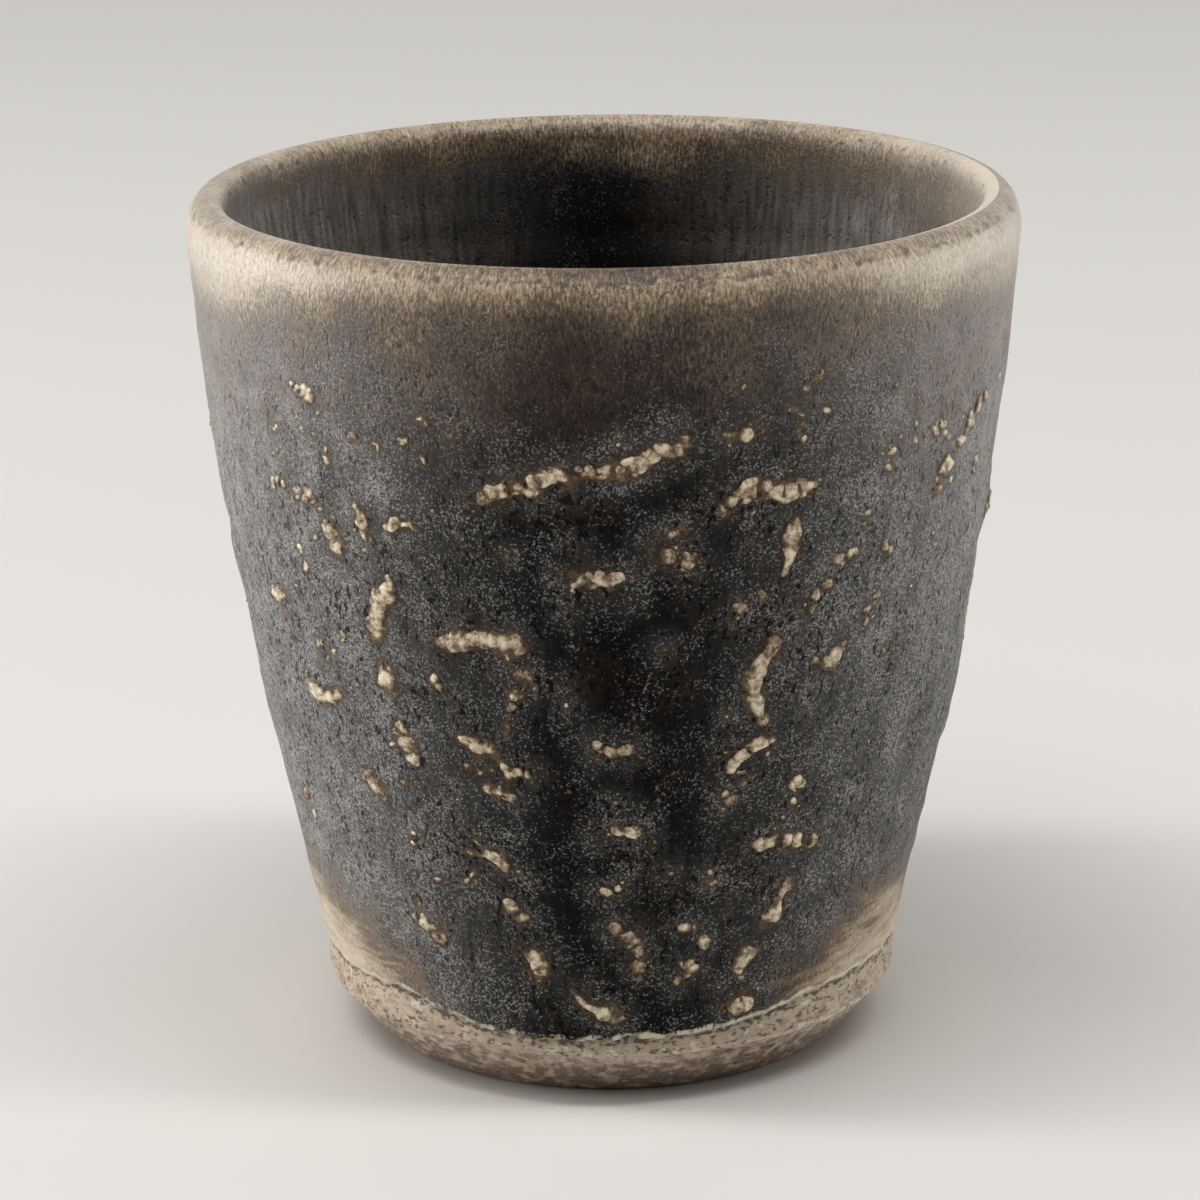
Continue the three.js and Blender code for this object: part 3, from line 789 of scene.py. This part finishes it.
class CUP_OT_glazed_wall(Operator):
    """Model the dipped glaze of the outer wall"""

    bl_idname = "cup.glazed_wall"
    bl_label = "Glazed wall"

    def execute(self, context):
        form = context.scene.cup_form
        outer = outside_line(form, 0.0)
        outer = even(outer[outer[:, 1] >= GLAZE_LOW.z], form.row)
        inner = outside_line(form, form.coat * INNER_FACE)
        inner = even(inner[inner[:, 1] >= GLAZE_LOW.z], 8 * MM)[::-1]
        piece, place = turned("glazed_wall", np.concatenate([outer, inner]), form.columns)
        mesh = piece.data
        places = read(mesh, "co")
        normals = read(mesh, "normal")
        skin = place < len(outer)
        below = run_of(outer[::-1])[::-1]
        below = np.append(below, np.interp(inner[:, 1], outer[:, 1], below))[place]
        degrees = degrees_of(places)
        height = places[:, 2] / MM

        gap = np.full(len(places), 9.0)
        near = self.slip_tree(form, skin_radius(form))
        for i in np.flatnonzero(skin):
            gap[i] = near.find(places[i])[2] / MM
        mound = 0.12 * np.exp(-(gap / 1.6) ** 2)
        above = height - GLAZE_LOW.z / MM
        thinning = 0.42 * (1 - smooth(0, 2.0, above)) - 0.12 * np.exp(-((above - 0.6) / 0.4) ** 2)
        stand = np.where(skin, lift(places, form) + (mound - thinning) * MM, 0)
        moved = places + normals * stand[:, None]
        moved[:, 2] += glaze_edge(degrees) * MM * (1 - smooth(GLAZE_LOW.z / MM, 18, height))
        write(mesh, moved)

        mark(mesh, "flow", flow_of(degrees, -below), "FLOAT_VECTOR")
        mark(mesh, "fur", fur_of(degrees, height))
        mark(mesh, "wipe", wiped(degrees, moved[:, 2] / MM))
        # Grey bloom at the sides and round the slip, partly painted light: the sides, where the lamps graze,
        # and the mounds round the slip are made lighter in colour
        mark(mesh, "bloom_and_painted_light", np.maximum(self.bloom_and_side_light(degrees, height), 0.5 * np.exp(-(gap / 2.2) ** 2)))
        mark(mesh, "brown", 0.8 * np.exp(-((degrees + 6) / 16) ** 2) * smooth(68, 83, height))
        mark(mesh, "halo", np.exp(-(gap / 0.6) ** 2))
        mark(mesh, "edge", np.exp(-((above - 0.3) / 0.55) ** 2) * (0.75 + 0.25 * smooth(-8, 12, degrees)))
        mark(mesh, "crest", np.where(skin, crest_of(height), 0))
        colours = context.scene.cup_colours
        finish_piece(piece, iron_glaze("satin_iron_glaze", colours, colours.ash, 1.0),
                     ["outer_glaze"])
        return {"FINISHED"}

    def bloom_and_side_light(self, degrees, height):
        """Share of bloom on the glaze, partly painted side light: most at the sides, less low on the right.
        """
        sides = smooth(2, 46, -degrees) + smooth(2, 48, degrees) * (0.7 + 0.3 * smooth(28, 60, height))
        return sides * (1 - 0.45 * smooth(115, 170, np.abs(degrees)))

    def slip_tree(self, form, radius_at):
        """The slip that stands above the wall, for finding the nearest of it."""
        places = np.concatenate([read(piece.data, "co") for piece in bpy.data.objects
                                 if piece.name.endswith("_slip")])
        return tree_of(places[rise_of(places, radius_at) - lift(places, form) > 0.1 * MM][::2])


def flow_of(degrees, run, straight=FLOW_RADIUS):
    """Places on the unrolled surface, wrapped round a straight cylinder so that no seam shows."""
    turn = np.radians(degrees)
    return np.stack([straight * np.sin(turn), -straight * np.cos(turn), run], axis=1)


def crest_of(height):
    """Closeness to the crest of the lip."""
    return np.exp(-((height - 88.9) / 0.7) ** 2)


def fur_of(degrees, height):
    """Share of beige streaks by place: full at the crest, thinning below the edge of the pale lip."""
    edge = rim_edge(degrees)
    tail = 25 + 10 * (smooth(4, 34, -degrees) + smooth(24, 55, degrees))
    fur = 0.5 * smooth(edge - 3, edge + 3.5, height) + 0.5 * smooth(edge - tail, edge + 1, height)
    fur *= 1 - 0.2 * smooth(85, 130, np.abs(degrees))
    return fur * (1 - 0.32 * np.exp(-((degrees + 2) / 15) ** 2)) * (1 - 0.3 * smooth(88.3, 89.8, height))


class CUP_OT_glazed_liner(Operator):
    """Model the poured glaze of the inside"""

    bl_idname = "cup.glazed_liner"
    bl_label = "Glazed liner"

    def execute(self, context):
        form = context.scene.cup_form
        top = even(inside_line(form, 0.0), 0.8 * MM)
        under = even(inside_line(form, form.coat * INNER_FACE), 6 * MM)[::-1]
        piece, place = turned("glazed_liner", np.concatenate([top, under]), form.hidden_columns)
        mesh = piece.data
        places = read(mesh, "co")
        run = np.append(run_of(top), np.interp(-under[:, 1], -top[:, 1], run_of(top)))[place]
        degrees = degrees_of(places)
        height = places[:, 2] / MM
        rings = 0.12 * MM * np.sin(run / (5 * MM) * 2 * math.pi) * smooth(4 * MM, 20 * MM, run)
        radius = np.linalg.norm(places[:, :2], axis=1)
        rings *= smooth(2, 14, radius / MM)
        write(mesh, places + read(mesh, "normal") * np.where(place < len(top), rings, 0)[:, None])
        mark(mesh, "flow", flow_of(degrees, run, np.minimum(FLOW_RADIUS, 1.3 * radius)), "FLOAT_VECTOR")
        right = np.exp(-((degrees - 75) / 40) ** 2)
        fur = (0.62 + 0.5 * right) * smooth(81 - 26 * right, 88, height + 2 * cloud(places, 9 * MM, 3))
        fur += 0.2 * smooth(88, 89.5, height)
        mark(mesh, "fur", np.where(place < len(top), fur, 0))
        # Bloom on the liner, mostly painted light: lighter at the sides and much lighter on the right, where
        # the lamps fall inside, fading deep inside to an even share
        bloom_and_painted_light = 0.60 * np.sin(np.radians(degrees)) ** 2 + 1.6 * right
        mark(mesh, "bloom_and_painted_light", 0.35 + (bloom_and_painted_light - 0.35) * smooth(36, 62, height))
        mark(mesh, "crest", np.where(place < len(top), crest_of(height), 0))
        colours = context.scene.cup_colours
        finish_piece(piece, iron_glaze("satin_iron_liner", colours, colours.fog, 0.3),
                     ["liner_glaze"])
        return {"FINISHED"}


class CUP_OT_turned_clay(Operator):
    """Model the clay body with its bevelled foot"""

    bl_idname = "cup.turned_clay"
    bl_label = "Turned clay"

    def execute(self, context):
        form = context.scene.cup_form
        depth = form.coat * CLAY_FACE
        ring_in = form.foot - form.ring
        under = np.array([(0, form.recess), (ring_in - form.recess_slope, form.recess), (ring_in, 0),
                          (form.foot - form.toe, 0)])
        toe = quadrant((form.foot - form.toe, form.toe), form.toe, form.toe, -90, -40)
        side = outside_line(form, depth)
        bevel = even(np.concatenate([toe, side[:BARE_POINTS]]), 0.3 * MM)
        high = even(side[BARE_POINTS:], 5 * MM)
        inside = even(inside_line(form, depth), 5 * MM)
        section = np.concatenate([even(under[:2], 2 * MM)[:-1], even(under[1:], 0.7 * MM)[:-1],
                                  bevel, high[1:], inside[1:]])
        piece, _ = turned("turned_clay", section, form.hidden_columns)
        mesh = piece.data
        places = read(mesh, "co")
        degrees = degrees_of(places)
        height = places[:, 2] / MM
        shown = smooth(0.1, 0.8, height) * (1 - smooth(7.5, 9, height))
        chatter = 0.05 * MM * np.sin(height / 0.9 * 2 * math.pi) + 0.12 * MM * cloud(places, 3 * MM, 4)
        write(mesh, places + read(mesh, "normal") * (shown * chatter)[:, None])
        line = GLAZE_LOW.z / MM + glaze_edge(degrees)
        patches = 0.75 * np.exp(-((height - line + 1.1) / 0.9) ** 2)
        arris = np.exp(-((height - form.bevel / MM) / 0.4) ** 2) * (0.6 + 0.6 * smooth(-30, 25, degrees))
        mark(mesh, "edge", np.maximum(patches, arris))
        # Painted shadow: a dark line just under the glaze's edge, as cast by its rolled rim
        mark(mesh, "glaze_edge_shadow", np.exp(-((height - line + 0.25) / 0.35) ** 2))
        mark(mesh, "band", smooth(form.bevel / MM - 0.6, form.bevel / MM + 0.2, height))
        # Painted shade: the clay darkens over its lowest few millimetres, where the bevel faces down
        mark(mesh, "low", 1 - smooth(1.5, 5.8, height))
        mark(mesh, "flow", flow_of(degrees, places[:, 2]), "FLOAT_VECTOR")
        finish_piece(piece, bare_stoneware("bare_stoneware", context.scene.cup_colours),
                     ["clay_body"])
        return {"FINISHED"}


class CUP_OT_stage(Operator):
    """Set the floor, the lights and the camera"""

    bl_idname = "cup.stage"
    bl_label = "Stage"

    def execute(self, context):
        stage = context.scene.cup_stage
        bpy.ops.object.select_all(action="DESELECT")
        bpy.ops.mesh.primitive_plane_add(size=FLOOR_SIZE)
        floor = context.object
        floor.name = "studio_floor"
        floor.data.materials.append(matt_paper("studio_paper", context.scene.cup_colours))
        self.soft_box("left_soft_box", stage.left_power, *LEFT_BOX)
        self.soft_box("right_soft_box", stage.right_power, *RIGHT_BOX)
        self.soft_box("top_soft_box", stage.top_power, *TOP_BOX)
        self.soft_box("front_soft_box", stage.front_power, *FRONT_BOX)
        self.soft_box("back_soft_box", stage.back_power, *BACK_BOX)
        room = bpy.data.worlds.new("room")
        room.use_nodes = True
        room.node_tree.nodes["Background"].inputs["Color"].default_value = (0.95, 0.97, 1.0, 1.0)
        room.node_tree.nodes["Background"].inputs["Strength"].default_value = stage.surround
        context.scene.world = room
        context.scene.view_settings.view_transform = "Standard"
        self.camera(context, stage)
        return {"FINISHED"}

    def soft_box(self, name, power, place, width, height):
        """A soft light that faces the middle of the cup."""
        bpy.ops.object.light_add(type="AREA", location=place)
        lamp = bpy.context.object
        lamp.name = name
        lamp.data.energy = power
        lamp.data.shape = "RECTANGLE"
        lamp.data.size = width
        lamp.data.size_y = height
        lamp.rotation_euler = (CUP_MIDDLE - lamp.location).to_track_quat("-Z", "Y").to_euler()

    def camera(self, context, stage):
        """The photograph's view: from the front and a little above."""
        aim = Vector((stage.aim_side, 0, stage.aim_height))
        back = Vector((0, -math.cos(stage.elevation), math.sin(stage.elevation)))
        bpy.ops.object.camera_add(location=aim + back * stage.distance)
        camera = context.object
        camera.name = "photo_camera"
        camera.data.lens = stage.lens
        camera.rotation_euler = (-back).to_track_quat("-Z", "Y").to_euler()
        camera.rotation_euler.rotate_axis("Z", stage.roll)
        context.scene.camera = camera


class CUP_PT_panel(Panel):
    """Lists the cup's pieces and settings"""

    bl_label = "Stoneware cup"
    bl_idname = "CUP_PT_panel"
    bl_space_type = "VIEW_3D"
    bl_region_type = "UI"
    bl_category = "Cup"

    def draw(self, context):
        for operator in OPERATORS:
            self.layout.operator(operator.bl_idname)
        for group in (context.scene.cup_form, context.scene.cup_colours, context.scene.cup_stage):
            column = self.layout.column()
            for key in group.bl_rna.properties.keys():
                if key not in ("rna_type", "name"):
                    column.prop(group, key)


OPERATORS = (CUP_OT_stage, CUP_OT_slip_strokes, CUP_OT_slip_specks, CUP_OT_glazed_wall,
             CUP_OT_glazed_liner, CUP_OT_turned_clay)
CLASSES = (CupForm, CupColours, CupStage, *OPERATORS, CUP_PT_panel)


def register():
    for cls in CLASSES:
        bpy.utils.register_class(cls)
    bpy.types.Scene.cup_form = PointerProperty(type=CupForm)
    bpy.types.Scene.cup_colours = PointerProperty(type=CupColours)
    bpy.types.Scene.cup_stage = PointerProperty(type=CupStage)


def unregister():
    for name in ("cup_form", "cup_colours", "cup_stage"):
        delattr(bpy.types.Scene, name)
    for cls in reversed(CLASSES):
        bpy.utils.unregister_class(cls)


def main():
    register()
    bpy.ops.cup.stage()
    bpy.ops.cup.slip_strokes()
    bpy.ops.cup.slip_specks()
    bpy.ops.cup.glazed_wall()
    bpy.ops.cup.glazed_liner()
    bpy.ops.cup.turned_clay()


if __name__ == "__main__":
    main()
